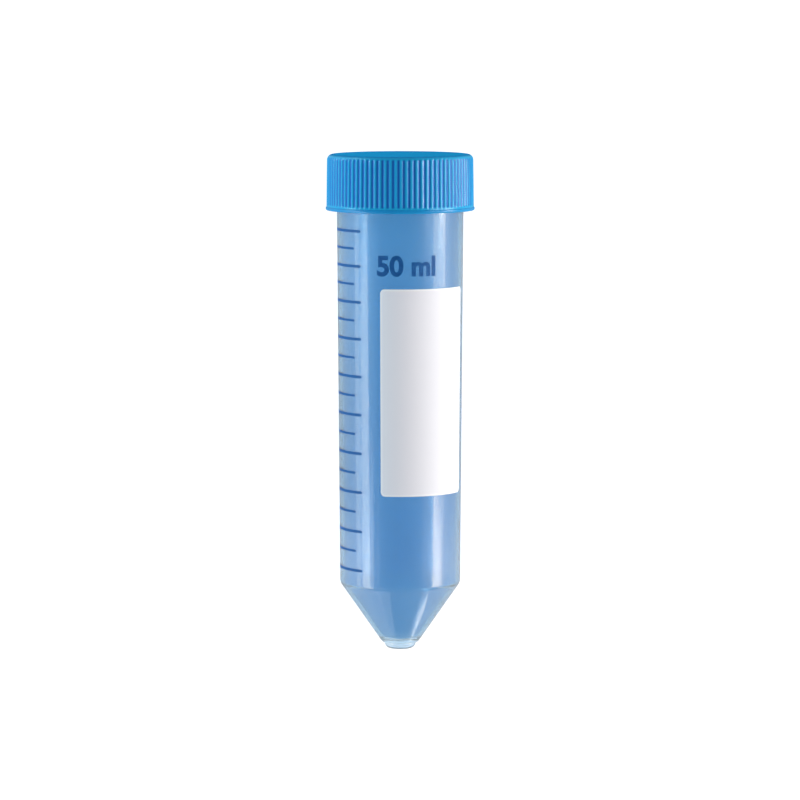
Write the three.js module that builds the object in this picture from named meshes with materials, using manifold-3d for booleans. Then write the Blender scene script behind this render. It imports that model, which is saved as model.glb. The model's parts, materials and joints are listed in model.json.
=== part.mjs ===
// A capped 50 ml conical centrifuge tube that lies at rest on its cap's flange and its shoulder.
//
// Millimetres. The pieces are built upright round one axis, the +Z of the `tube` group: heights
// start at the tip and radii at the axis. The writing patch faces -Y there, and bearings round the
// axis are counted from that front, growing towards +X. The group is then laid down, so that the
// cap end points along +Y and the front faces up.

import * as THREE from 'three';
import { mergeVertices } from 'three/addons/utils/BufferGeometryUtils.js';
import Module from 'manifold-3d';

const degrees = THREE.MathUtils.degToRad;

// ---- Driving dimensions ----------------------------------------------------------------------

// Tube moulding
const TUBE_LENGTH = 115.0;
const WALL = 1.0;
const BOSS_RADIUS = 3.7;
const BOSS_DEPTH = 1.6;
const BOSS_ROUND = 1.4;
const CONE_END_RADIUS = 4.33;
const CONE_END_ROUND = 0.3;
const CONE_HALF_ANGLE = degrees(34.7);
const SHOULDER_RADIUS = 14.17;
const SHOULDER_ROUND = 2.3;
const INNER_SHOULDER_ROUND = 0.5;
const FLOOR_THICKNESS = 0.9;
const FLOOR_ROUND = 2.5;
const NECK_RADIUS = 14.84;
const NECK_LENGTH = 11.8;
const RIM_ROUND = 0.3;

// Outside thread of the neck
const THREAD_LEAD = 3.2;
const THREAD_TURNS = 1.5;
const THREAD_HEIGHT = 0.95;
const THREAD_ROOT_WIDTH = 1.7;
const THREAD_CREST_WIDTH = 0.7;
const THREAD_SINK = 0.3;
const THREAD_BELOW_RIM = 2.2;
const THREAD_RUN_OUT = degrees(30);

// Screw cap
const CAP_HEIGHT = 13.1;
const CAP_TOP_WALL = 1.5;
const CAP_TOP_ROUND = 1.3;
const CAP_TOP_INSET = 0.16;
const SKIRT_WALL = 1.16;
const FLANGE_LIP = 0.17;
const FLANGE_HEIGHT = 0.85;
const FLANGE_ROUND = 0.35;
const PLUG_DEPTH = 2.4;
const PLUG_WALL = 0.8;
const RIB_COUNT = 88;
const GROOVE_DEPTH = 0.2;
const GROOVE_RUN_OUT = 0.35;
const RIBS_ABOVE_BASE = 1.0;
const RIBS_BELOW_TOP = 0.4;

// Clearances between the cap and the tube
const SEAT_GAP = 0.3;
const PLUG_GAP = 0.3;
const THREAD_GAP = 0.35;

// Print: the writing patch and the volume marks
const PRINT_THICKNESS = 0.1;
const PRINT_GAP = 0.05;
const PATCH_BASE = 37.75;
const PATCH_HEIGHT = 48.35;
const PATCH_CORNER = 1.0;
const PATCH_FROM = degrees(-18.3);
const PATCH_TO = degrees(73.4);
const MARK_COUNT = 19;
const FIRST_MARK_ABOVE_SHOULDER = 4.0;
const LAST_MARK_BELOW_CAP = 4.35;
const MARK_CROWDING = 0.047;
const FIRST_MARK_ML = 5;
const MARK_STEP_ML = 2.5;
const LONG_MARK_WIDTH = 0.64;
const LONG_MARK_START = degrees(-38.4);
const LONG_MARK_SPAN = degrees(58.6);
const SHORT_MARK_WIDTH = 0.54;
const SHORT_MARK_START = degrees(-46.7);
const SHORT_MARK_SPAN = degrees(50.3);

// Facets of the round surfaces
const FACETS = 72;
const FACET = (2 * Math.PI) / FACETS;
const ARC_STEP = degrees(18);
const THREAD_STEP = degrees(12);
const CUT_MARGIN = 0.05;

// ---- Places that follow from them ------------------------------------------------------------

const SHOULDER_HEIGHT = BOSS_DEPTH + (SHOULDER_RADIUS - CONE_END_RADIUS) / Math.tan(CONE_HALF_ANGLE);
const NECK_BASE = TUBE_LENGTH - NECK_LENGTH;
const BODY_TAPER = (NECK_RADIUS - SHOULDER_RADIUS) / (NECK_BASE - SHOULDER_HEIGHT);
const FLOOR_HEIGHT = BOSS_DEPTH + FLOOR_THICKNESS;
const CONE_WALL_LIFT = WALL / Math.sin(CONE_HALF_ANGLE);
const MOUTH_RADIUS = NECK_RADIUS - WALL;

const CEILING = TUBE_LENGTH + SEAT_GAP;
const CAP_TOP = CEILING + CAP_TOP_WALL;
const CAP_BASE = CAP_TOP - CAP_HEIGHT;
const SKIRT_BORE = NECK_RADIUS + THREAD_HEIGHT + THREAD_GAP;
const CAP_RADIUS = SKIRT_BORE + SKIRT_WALL;
const CAP_TOP_RADIUS = CAP_RADIUS - CAP_TOP_INSET;
const FLANGE_RADIUS = CAP_RADIUS + FLANGE_LIP;
const PLUG_RADIUS = MOUTH_RADIUS - PLUG_GAP;

/** Outside radius of the tapered body at a height. */
function bodyRadius(height) {
  return SHOULDER_RADIUS + BODY_TAPER * (height - SHOULDER_HEIGHT);
}

/** Inside radius of the cone at a height, one wall inside its outer face. */
function coneBore(height) {
  return CONE_END_RADIUS + (height - BOSS_DEPTH - CONE_WALL_LIFT) * Math.tan(CONE_HALF_ANGLE);
}

// ---- Shape helpers ---------------------------------------------------------------------------

/** A corner of an outline: radius and height, and the radius that rounds it off. */
function corner(radius, height, round = 0) {
  return { at: new THREE.Vector2(radius, height), round };
}

/** The points of an outline whose corners are rounded by arcs that touch both sides. */
function roundedOutline(corners) {
  return corners.flatMap(({ at, round }, i) => {
    if (round === 0) return [at];
    const back = corners[i - 1].at.clone().sub(at).normalize();
    const on = corners[i + 1].at.clone().sub(at).normalize();
    const half = Math.acos(THREE.MathUtils.clamp(back.dot(on), -1, 1)) / 2;
    const centre = at.clone().addScaledVector(back.clone().add(on).normalize(), round / Math.sin(half));
    const start = at.clone().addScaledVector(back, round / Math.tan(half)).sub(centre);
    const sweep = (Math.PI - 2 * half) * Math.sign(back.cross(on)) * -1;
    const steps = Math.max(1, Math.ceil(Math.abs(sweep) / ARC_STEP));
    return Array.from({ length: steps + 1 }, (_, k) =>
      start.clone().rotateAround(new THREE.Vector2(), (sweep * k) / steps).add(centre));
  });
}

/** A solid of revolution about +Z, with a flat facet at the front and at the back. */
function turned(outline) {
  return new THREE.LatheGeometry(outline, FACETS, FACET / 2).rotateX(Math.PI / 2);
}

/** A point at a bearing round the axis. */
function around(bearing, radius, height) {
  return new THREE.Vector3(radius * Math.sin(bearing), -radius * Math.cos(bearing), height);
}

/**
 * A closed solid through cross-sections whose bearings increase: a ring if `closed`, or else with
 * flat ends. Each section runs up its inner side and down its outer side.
 */
function loft(sections, closed) {
  const size = sections[0].length;
  const index = [];
  const last = closed ? sections.length : sections.length - 1;
  for (let s = 0; s < last; s += 1) {
    const here = s * size;
    const next = ((s + 1) % sections.length) * size;
    for (let p = 0; p < size; p += 1) {
      const q = (p + 1) % size;
      index.push(here + p, here + q, next + p, next + p, here + q, next + q);
    }
  }
  const end = (sections.length - 1) * size;
  for (let p = 1; !closed && p < size - 1; p += 1) {
    index.push(0, p + 1, p, end, end + p, end + p + 1);
  }
  const geometry = new THREE.BufferGeometry().setFromPoints(sections.flat());
  geometry.setIndex(index);
  return geometry;
}

/** A geometry as a solid that can be joined and cut. */
function solid(geometry) {
  const bare = geometry.clone();
  bare.deleteAttribute('normal');
  bare.deleteAttribute('uv');
  const merged = mergeVertices(bare, 1e-5);
  return new wasm.Manifold(new wasm.Mesh({
    numProp: 3,
    vertProperties: new Float32Array(merged.attributes.position.array),
    triVerts: new Uint32Array(merged.index.array),
  }));
}

/** A joined or cut solid as a geometry. */
function geometryOf(manifold) {
  const mesh = manifold.getMesh();
  const geometry = new THREE.BufferGeometry();
  geometry.setAttribute('position', new THREE.BufferAttribute(new Float32Array(mesh.vertProperties), 3));
  geometry.setIndex(new THREE.BufferAttribute(new Uint32Array(mesh.triVerts), 1));
  geometry.computeVertexNormals();
  return geometry;
}

/** Evenly spaced values from one bound to the other, no further apart than `step`. */
function spread(from, to, step) {
  const count = Math.max(1, Math.ceil((to - from) / step));
  return Array.from({ length: count + 1 }, (_, k) => from + ((to - from) * k) / count);
}

const wasm = await Module();
wasm.setup();

// ---- Tube moulding ---------------------------------------------------------------------------

/** Outline of the outside, from the tip to the rim. */
function outsideCorners() {
  return [
    corner(0, 0),
    corner(BOSS_RADIUS, 0, BOSS_ROUND),
    corner(BOSS_RADIUS, BOSS_DEPTH),
    corner(CONE_END_RADIUS, BOSS_DEPTH, CONE_END_ROUND),
    corner(SHOULDER_RADIUS, SHOULDER_HEIGHT, SHOULDER_ROUND),
    corner(NECK_RADIUS, NECK_BASE),
    corner(NECK_RADIUS, TUBE_LENGTH, RIM_ROUND),
  ];
}

/** Outline of the inside, from the rim to the floor: the walls follow the outside. */
function insideCorners() {
  const shoulder = SHOULDER_HEIGHT + CONE_WALL_LIFT - WALL / Math.tan(CONE_HALF_ANGLE);
  return [
    corner(MOUTH_RADIUS, TUBE_LENGTH, RIM_ROUND),
    corner(MOUTH_RADIUS, NECK_BASE),
    corner(bodyRadius(shoulder) - WALL, shoulder, INNER_SHOULDER_ROUND),
    corner(coneBore(FLOOR_HEIGHT), FLOOR_HEIGHT, FLOOR_ROUND),
    corner(0, FLOOR_HEIGHT),
  ];
}

/** The neck's single thread: a ridge that winds up the neck and runs out at both ends. */
function threadGeometry() {
  const turn = THREAD_TURNS * 2 * Math.PI;
  const top = TUBE_LENGTH - THREAD_BELOW_RIM;
  const sections = spread(0, turn, THREAD_STEP).map((bearing) => {
    const middle = top - ((turn - bearing) / (2 * Math.PI)) * THREAD_LEAD;
    const toEnd = Math.min(bearing, turn - bearing) / THREAD_RUN_OUT;
    const crest = NECK_RADIUS - THREAD_SINK / 2 + (THREAD_HEIGHT + THREAD_SINK / 2) * Math.min(1, toEnd);
    const foot = NECK_RADIUS - THREAD_SINK;
    return [
      around(bearing, foot, middle - THREAD_ROOT_WIDTH / 2),
      around(bearing, foot, middle + THREAD_ROOT_WIDTH / 2),
      around(bearing, crest, middle + THREAD_CREST_WIDTH / 2),
      around(bearing, crest, middle - THREAD_CREST_WIDTH / 2),
    ];
  });
  return loft(sections, false);
}

function tubeGeometry() {
  const wall = turned(roundedOutline([...outsideCorners(), ...insideCorners()]));
  return geometryOf(solid(wall).add(solid(threadGeometry())));
}

// ---- Screw cap -------------------------------------------------------------------------------

/** Outside radius of the cap's skirt at a height: it narrows a little towards the top. */
function capRadius(height) {
  return CAP_RADIUS - (CAP_TOP_INSET * (height - CAP_BASE)) / CAP_HEIGHT;
}

function capCorners() {
  const plugBore = PLUG_RADIUS - PLUG_WALL;
  const plugEnd = CEILING - PLUG_DEPTH;
  const flangeTop = CAP_BASE + FLANGE_HEIGHT;
  return [
    corner(0, CEILING),
    corner(plugBore, CEILING),
    corner(plugBore, plugEnd),
    corner(PLUG_RADIUS, plugEnd),
    corner(PLUG_RADIUS, CEILING),
    corner(SKIRT_BORE, CEILING),
    corner(SKIRT_BORE, CAP_BASE),
    corner(FLANGE_RADIUS, CAP_BASE, FLANGE_ROUND),
    corner(FLANGE_RADIUS, flangeTop - FLANGE_LIP),
    corner(capRadius(flangeTop), flangeTop),
    corner(CAP_TOP_RADIUS, CAP_TOP, CAP_TOP_ROUND),
    corner(0, CAP_TOP),
  ];
}

/** The ring that cuts the finger grooves, leaving a flat-topped rib between each two. */
function grooveGeometry() {
  const base = CAP_BASE + RIBS_ABOVE_BASE;
  const top = CAP_TOP - RIBS_BELOW_TOP;
  const outside = FLANGE_RADIUS + GROOVE_DEPTH;
  const pitch = (2 * Math.PI) / RIB_COUNT;
  // One rib and one groove: each corner's place along the pitch, and whether it is down in the groove.
  const steps = [[0, false], [0.34, false], [0.52, true], [0.82, true]];
  const sections = [];
  for (let rib = 0; rib < RIB_COUNT; rib += 1) {
    for (const [along, deep] of steps) {
      const bearing = (rib + along) * pitch;
      const offset = deep ? -GROOVE_DEPTH : CUT_MARGIN;
      sections.push([
        around(bearing, capRadius(base) + CUT_MARGIN, base),
        around(bearing, capRadius(base) + offset, base + GROOVE_RUN_OUT),
        around(bearing, capRadius(top) + offset, top - GROOVE_RUN_OUT),
        around(bearing, capRadius(top) + CUT_MARGIN, top),
        around(bearing, outside, top),
        around(bearing, outside, base),
      ]);
    }
  }
  return loft(sections, true);
}

function capGeometry() {
  const shell = turned(roundedOutline(capCorners()));
  return geometryOf(solid(shell).subtract(solid(grooveGeometry())));
}

// ---- Print -----------------------------------------------------------------------------------

/** A thin layer on the body's wall between two heights, at one bearing. */
function printSection(bearing, base, top) {
  const inner = (height) => bodyRadius(height) + PRINT_GAP;
  return [
    around(bearing, inner(base), base),
    around(bearing, inner(top), top),
    around(bearing, inner(top) + PRINT_THICKNESS, top),
    around(bearing, inner(base) + PRINT_THICKNESS, base),
  ];
}

/** The white patch for handwriting: a rectangle on the wall with rounded corners. */
function patchGeometry() {
  const middle = PATCH_BASE + PATCH_HEIGHT / 2;
  const cornerSpan = PATCH_CORNER / bodyRadius(middle);
  const bearings = [
    ...spread(PATCH_FROM, PATCH_FROM + cornerSpan, cornerSpan / 4),
    ...spread(PATCH_FROM + cornerSpan, PATCH_TO - cornerSpan, FACET).slice(1, -1),
    ...spread(PATCH_TO - cornerSpan, PATCH_TO, cornerSpan / 4),
  ];
  const sections = bearings.map((bearing) => {
    const toEnd = Math.min(bearing - PATCH_FROM, PATCH_TO - bearing) / cornerSpan;
    const pull = 1 - Math.min(1, toEnd);
    const inset = PATCH_CORNER * (1 - Math.sqrt(1 - pull * pull));
    return printSection(bearing, PATCH_BASE + inset, PATCH_BASE + PATCH_HEIGHT - inset);
  });
  return loft(sections, false);
}

/**
 * Heights of the marks between the first and the last. The marks stand for equal volumes of a bore
 * that widens towards the cap, so the steps shorten on the way up.
 */
function markHeights() {
  const first = SHOULDER_HEIGHT + FIRST_MARK_ABOVE_SHOULDER;
  const last = CAP_BASE - LAST_MARK_BELOW_CAP;
  return Array.from({ length: MARK_COUNT }, (_, i) => {
    const share = i / (MARK_COUNT - 1);
    return first + (last - first) * (share + MARK_CROWDING * share * (1 - share * share));
  });
}

/** One mark, running from its front end round to the left. */
function markGeometry(height, width, start, span) {
  const bearings = spread(start - span, start, FACET);
  const sections = bearings.map((bearing) =>
    printSection(bearing, height - width / 2, height + width / 2));
  return loft(sections, false);
}

// ---- Materials -------------------------------------------------------------------------------

const clearBluePlastic = new THREE.MeshStandardMaterial({
  color: 0x9cc6e6, roughness: 0.25, metalness: 0, transparent: true, opacity: 0.55,
});
const bluePlastic = new THREE.MeshStandardMaterial({ color: 0x2196d6, roughness: 0.35, metalness: 0 });
const whiteInk = new THREE.MeshStandardMaterial({ color: 0xf4f6f8, roughness: 0.8, metalness: 0 });
const blueInk = new THREE.MeshStandardMaterial({ color: 0x1a5591, roughness: 0.6, metalness: 0 });

// ---- Assembly --------------------------------------------------------------------------------

function piece(name, geometry, material) {
  const mesh = new THREE.Mesh(geometry, material);
  mesh.name = name;
  return mesh;
}

/** Angle by which the axis rises towards the cap when the tube lies on its flange and shoulder. */
function restingTilt() {
  const heel = new THREE.Vector2(FLANGE_RADIUS, CAP_BASE + FLANGE_ROUND);
  const slopes = roundedOutline([...outsideCorners(), ...insideCorners()])
    .filter((point) => point.y < CAP_BASE)
    .map((point) => (heel.x - point.x) / (heel.y - point.y));
  return Math.atan(Math.min(...slopes));
}

const tube = new THREE.Group();
tube.add(piece('tube', tubeGeometry(), clearBluePlastic));
tube.add(piece('cap', capGeometry(), bluePlastic));
tube.add(piece('writing_patch', patchGeometry(), whiteInk));
markHeights().forEach((height, i) => {
  const volume = String(FIRST_MARK_ML + i * MARK_STEP_ML).replace('.', '_');
  const geometry = i % 2 === 0
    ? markGeometry(height, LONG_MARK_WIDTH, LONG_MARK_START, LONG_MARK_SPAN)
    : markGeometry(height, SHORT_MARK_WIDTH, SHORT_MARK_START, SHORT_MARK_SPAN);
  tube.add(piece(`mark_${volume}_ml`, geometry, blueInk));
});

// Lay the tube down, then put the middle of its footprint at the origin.
tube.rotation.x = restingTilt() - Math.PI / 2;
tube.updateMatrixWorld(true);
const bounds = new THREE.Box3().setFromObject(tube, true);
const middle = bounds.getCenter(new THREE.Vector3());
tube.position.set(-middle.x, -middle.y, -bounds.min.z);

const part = new THREE.Group();
part.add(tube);

export default part;
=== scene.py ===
"""Looks of a capped 50 ml centrifuge tube that lies at rest on a pale floor.

The pieces' lengths are in millimetres until TubeAxes places them in the row frame, which is in
metres, as the finishes, the floor and the lamps are. Heights run along the tube's axis from its
tip, radii are from the axis, and bearings go round it from the front, where the writing patch is,
growing towards +X.
"""

import json
import logging
import math
from collections.abc import Sequence
from dataclasses import dataclass
from enum import Enum

import bmesh
import bpy
import numpy as np
from mathutils import Matrix, Vector


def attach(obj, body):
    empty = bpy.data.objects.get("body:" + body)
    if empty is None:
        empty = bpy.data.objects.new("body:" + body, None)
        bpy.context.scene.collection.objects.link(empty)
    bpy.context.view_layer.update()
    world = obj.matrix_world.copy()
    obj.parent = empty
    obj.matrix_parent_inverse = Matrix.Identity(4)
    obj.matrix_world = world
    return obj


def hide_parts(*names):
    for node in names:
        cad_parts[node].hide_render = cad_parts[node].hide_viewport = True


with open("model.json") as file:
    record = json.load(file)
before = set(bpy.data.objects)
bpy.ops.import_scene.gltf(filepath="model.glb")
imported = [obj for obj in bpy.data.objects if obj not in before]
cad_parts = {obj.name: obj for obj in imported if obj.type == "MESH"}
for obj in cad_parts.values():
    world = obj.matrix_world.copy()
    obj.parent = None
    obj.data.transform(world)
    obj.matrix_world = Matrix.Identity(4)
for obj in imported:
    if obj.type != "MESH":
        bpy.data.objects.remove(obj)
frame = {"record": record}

Array = np.ndarray
Colour = tuple[float, float, float]
# Two readings, and the values that a ramp has at them. Beyond them it is held.
Ramp = tuple[float, float, float, float]
# A bump's strength and depth.
Relief = tuple[float, float]
Socket = bpy.types.NodeSocket

MM = 0.001
TURN = 2 * math.pi
SOLID_FACETS = 72
# The solids are prisms of that many facets, whose flats lie this much inside their circles.
FLAT = math.cos(math.pi / SOLID_FACETS)
SHARP_ANGLE = math.radians(40)
# Radii that differ by less than this are the same.
NEAR = 0.01
FEWEST_ARC_POINTS = 3
# A run longer than this many supports has a point that near to each of its ends.
LONG_RUN = 6
# The mesh attribute that carries painted shade on the cap: grooves, flange and top.
PAINTED_SHADE_ATTRIBUTE = "groove"
POLISH_ATTRIBUTE = "polish"
UV_NAME = "UVMap"

log = logging.getLogger("tube")


# ---- Places ------------------------------------------------------------------------------------


@dataclass(frozen=True)
class TubeAxes:
    """The tube's own axes in the row frame.

    Attributes:
        tip: The axis's end at the cone, in metres.
        along: Unit vector from the tip to the cap.
        front: Unit vector from the axis to the front.
        right: Unit vector from the axis to the front's right.
    """

    tip: Array
    along: Array
    front: Array
    right: Array

    @classmethod
    def from_record(cls, record: dict, cap_top: float) -> "TubeAxes":
        """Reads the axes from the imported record.

        Args:
            record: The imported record, whose cap joint gives the direction of the axis and whose
                mount gives the middle of the cap's top.
            cap_top: Height of the cap's top.

        Returns:
            The axes, with the front in the plane of the axis and the vertical.
        """
        along = np.array(record["behaviour"]["joints"][0]["axis"], float)
        along /= np.linalg.norm(along)
        top = np.array(record["mounts"][0]["pos_m"], float)
        right = np.array([1.0, 0.0, 0.0])
        return cls(top - along * cap_top * MM, along, np.cross(right, along), right)

    def place(self, bearing: Array, radius: Array, height: Array) -> Array:
        """Places points in the row frame: tip + along * height + (front cos b + right sin b) * radius.

        Args:
            bearing: The bearings b.
            radius: The radii.
            height: The heights; the three are broadcast together.

        Returns:
            The places, in metres.
        """
        bearing, radius, height = np.broadcast_arrays(bearing, radius, height)
        outward = np.cos(bearing)[..., None] * self.front + np.sin(bearing)[..., None] * self.right
        return self.tip + (self.along * height[..., None] + outward * radius[..., None]) * MM

    def matrix(self) -> Matrix:
        """Gives the axes as a matrix whose X is the right, whose Y is the back and whose Z is the axis.

        Returns:
            The matrix, which turns places on the axes into places in the row frame, in metres.
        """
        rows = np.eye(4)
        rows[:3, :3] = np.column_stack([self.right, -self.front, self.along])
        rows[:3, 3] = self.tip
        return Matrix(rows.tolist())


# ---- Outlines and meshes -----------------------------------------------------------------------


@dataclass(frozen=True)
class Corner:
    """A corner of an outline: its radius and height, and the radius that rounds it off."""

    radius: float
    height: float
    round: float = 0.0


def rounded_outline(corners: Sequence[Corner], arc_step: float = math.radians(9)) -> Array:
    """Joins corners by straight runs, and rounds them by arcs that touch both runs.

    With half the corner's inner angle, an arc's centre is round / sin(half) from the corner on the
    bisector, and it meets each run round / tan(half) from the corner.

    Args:
        corners: The corners in order.
        arc_step: Widest angle between two points of a 1 mm arc. It grows as the inverse square root
            of the radius, so that every arc strays as little from its curve.

    Returns:
        Radius and height of each point, one row each.
    """
    places = np.array([(c.radius, c.height) for c in corners])
    pieces = []
    for i, corner in enumerate(corners):
        at = places[i]
        if corner.round == 0:
            pieces.append(at[None])
            continue
        back, on = places[i - 1] - at, places[i + 1] - at
        back, on = back / np.linalg.norm(back), on / np.linalg.norm(on)
        half = math.acos(np.clip(back @ on, -1, 1)) / 2
        bisector = (back + on) / np.linalg.norm(back + on)
        centre = at + bisector * corner.round / math.sin(half)
        start = at + back * corner.round / math.tan(half) - centre
        sweep = -(math.pi - 2 * half) * np.sign(back[0] * on[1] - back[1] * on[0])
        steps = math.ceil(abs(sweep) * math.sqrt(corner.round) / arc_step)
        turn = np.linspace(0, sweep, max(FEWEST_ARC_POINTS, steps + 1))
        cosine, sine = np.cos(turn), np.sin(turn)
        arc = [cosine * start[0] - sine * start[1], sine * start[0] + cosine * start[1]]
        pieces.append(centre + np.column_stack(arc))
    return np.concatenate(pieces)


def spaced(points: Array, steps: Array, support: float = 0.08) -> Array:
    """Adds points to an outline's runs, at their ends and evenly between.

    Args:
        points: Radius and height of the outline's points.
        steps: Widest gap allowed in each run.
        support: Distance from each end of a long run at which a point keeps the shading crisp.

    Returns:
        The outline with the points added, each at its length along the outline.
    """
    gaps = np.linalg.norm(np.diff(points, axis=0), axis=1)
    length = np.concatenate([[0.0], np.cumsum(gaps)])
    counts = np.maximum(1, np.ceil(gaps / steps)).astype(int)
    within = np.arange(counts.sum()) - np.repeat(np.cumsum(counts) - counts, counts)
    even = np.repeat(length[:-1], counts) + within * np.repeat(gaps / counts, counts)
    long = gaps > LONG_RUN * support
    supports = [length[:-1][long] + support, length[1:][long] - support]
    samples = np.unique(np.round(np.concatenate([even, length[-1:], *supports]), 6))
    return np.column_stack([np.interp(samples, length, points[:, k]) for k in (0, 1)])


def eased(value: Array) -> Array:
    """A smooth step from 0 at or below 0 to 1 at or above 1: v * v * (3 - 2 v)."""
    held = np.clip(value, 0, 1)
    return held * held * (3 - 2 * held)


def helix_ridge(
    bearing: Array, height: Array, first: float, start: float, turns: float, lead: float,
    root: float, crest: float, run_out: float,
) -> Array:
    """How much of a helical ridge's height stands at each point of a turned surface.

    A turn t of the ridge passes a bearing at the height first + lead * t. The ridge falls from 1
    within half its crest width to 0 at half its root width, and eases in and out at its two ends.

    Args:
        bearing: Bearings, from 0 to a full turn.
        height: Heights, to be broadcast with the bearings.
        first: Height of the ridge's middle at its start.
        start: Bearing at which it starts.
        turns: How many turns it makes.
        lead: Rise of one turn.
        root: Width at its foot.
        crest: Width at its top.
        run_out: Angle over which each end eases.

    Returns:
        A share from 0 to 1 for each point.
    """
    passed = np.mod(bearing - start, TURN)
    share = np.zeros(np.broadcast(bearing, height).shape)
    for lap in range(math.ceil(turns)):
        angle = passed + lap * TURN
        middle = first + lead * angle / TURN
        across = eased((root / 2 - np.abs(height - middle)) / ((root - crest) / 2))
        ends = eased(np.minimum(angle, turns * TURN - angle) / run_out)
        share = np.maximum(share, across * ends)
    return share


def mesh_object(
    name: str, points: Array, quads: Array, triangles: Array | None = None,
) -> bpy.types.Object:
    """Makes an object at the origin from whole arrays of points and faces.

    Args:
        name: The piece's name.
        points: One row of coordinates for each vertex, in metres.
        quads: Four vertex numbers for each quad.
        triangles: Three vertex numbers for each triangle, if there are any.

    Returns:
        The object, shaded smooth with sharp edges where faces meet at a wide angle.
    """
    triangles = np.zeros((0, 3), int) if triangles is None else triangles
    mesh = bpy.data.meshes.new(name)
    mesh.vertices.add(len(points))
    mesh.vertices.foreach_set("co", points.astype(np.float32).ravel())
    mesh.loops.add(quads.size + triangles.size)
    corners = np.concatenate([quads.ravel(), triangles.ravel()])
    mesh.loops.foreach_set("vertex_index", corners.astype(np.int32))
    starts = np.concatenate([
        np.arange(len(quads)) * 4,
        quads.size + np.arange(len(triangles)) * 3,
    ])
    mesh.polygons.add(len(starts))
    mesh.polygons.foreach_set("loop_start", starts.astype(np.int32))
    mesh.update(calc_edges=True)
    mesh.validate()
    mesh.shade_smooth()
    mesh.set_sharp_from_angle(angle=SHARP_ANGLE)
    obj = bpy.data.objects.new(name, mesh)
    bpy.context.scene.collection.objects.link(obj)
    return obj


def turned_object(name: str, points: Array) -> bpy.types.Object:
    """Skins a grid that goes round the axis and whose first and last rows are points on it.

    Args:
        name: The piece's name.
        points: Rows along the outline by columns round the axis, in metres.

    Returns:
        A closed object whose faces point outwards.
    """
    rows, columns = points.shape[:2]
    ring = np.arange(1, 1 + (rows - 2) * columns).reshape(rows - 2, columns)
    after = np.roll(ring, -1, axis=1)
    quads = np.stack([ring[:-1], after[:-1], after[1:], ring[1:]], axis=-1).reshape(-1, 4)
    last = 1 + ring.size
    triangles = np.concatenate([
        np.column_stack([np.zeros(columns, int), after[0], ring[0]]),
        np.column_stack([np.full(columns, last), ring[-1], after[-1]]),
    ])
    flat = np.concatenate([points[0, :1], points[1:-1].reshape(-1, 3), points[-1, :1]])
    return mesh_object(name, flat, quads, triangles)


def point_values(piece: bpy.types.Object, name: str, share: Array) -> None:
    """Keeps a number for each point of a turned object.

    Args:
        piece: The turned object.
        name: The name under which its material finds the numbers.
        share: The numbers, by rows and columns of the object's grid.
    """
    values = np.concatenate([share[0, :1], share[1:-1].ravel(), share[-1, :1]])
    attribute = piece.data.attributes.new(name, "FLOAT", "POINT")
    attribute.data.foreach_set("value", values.astype(np.float32))


def vertex_places(mesh: bpy.types.Mesh) -> Array:
    """Reads where a mesh's vertices are.

    Args:
        mesh: The mesh.

    Returns:
        One row of coordinates for each vertex.
    """
    places = np.empty(len(mesh.vertices) * 3, np.float32)
    mesh.vertices.foreach_get("co", places)
    return places.reshape(-1, 3)


def slab_object(name: str, outer: Array, inner: Array) -> bpy.types.Object:
    """Closes two open grids of the same size into a thin slab.

    Args:
        name: The piece's name.
        outer: Rows by rising height and columns by growing bearing, on the side away from the axis.
        inner: The same on the side towards the axis.

    Returns:
        A closed object whose faces point outwards.
    """
    rows, columns = outer.shape[:2]
    near = np.arange(rows * columns).reshape(rows, columns)
    far = near + rows * columns

    def strip(a: Array, b: Array) -> Array:
        """Quads between two rows of vertex numbers."""
        return np.stack([a[:-1], a[1:], b[1:], b[:-1]], axis=-1).reshape(-1, 4)

    front = np.stack([near[:-1, :-1], near[:-1, 1:], near[1:, 1:], near[1:, :-1]], axis=-1)
    front = front.reshape(-1, 4)
    quads = np.concatenate([
        front,
        (front + rows * columns)[:, ::-1],
        strip(far[0], near[0]),
        strip(near[-1], far[-1]),
        strip(near[:, 0], far[:, 0]),
        strip(far[:, -1], near[:, -1]),
    ])
    return mesh_object(name, np.concatenate([outer.reshape(-1, 3), inner.reshape(-1, 3)]), quads)


# ---- Finishes ----------------------------------------------------------------------------------


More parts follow.
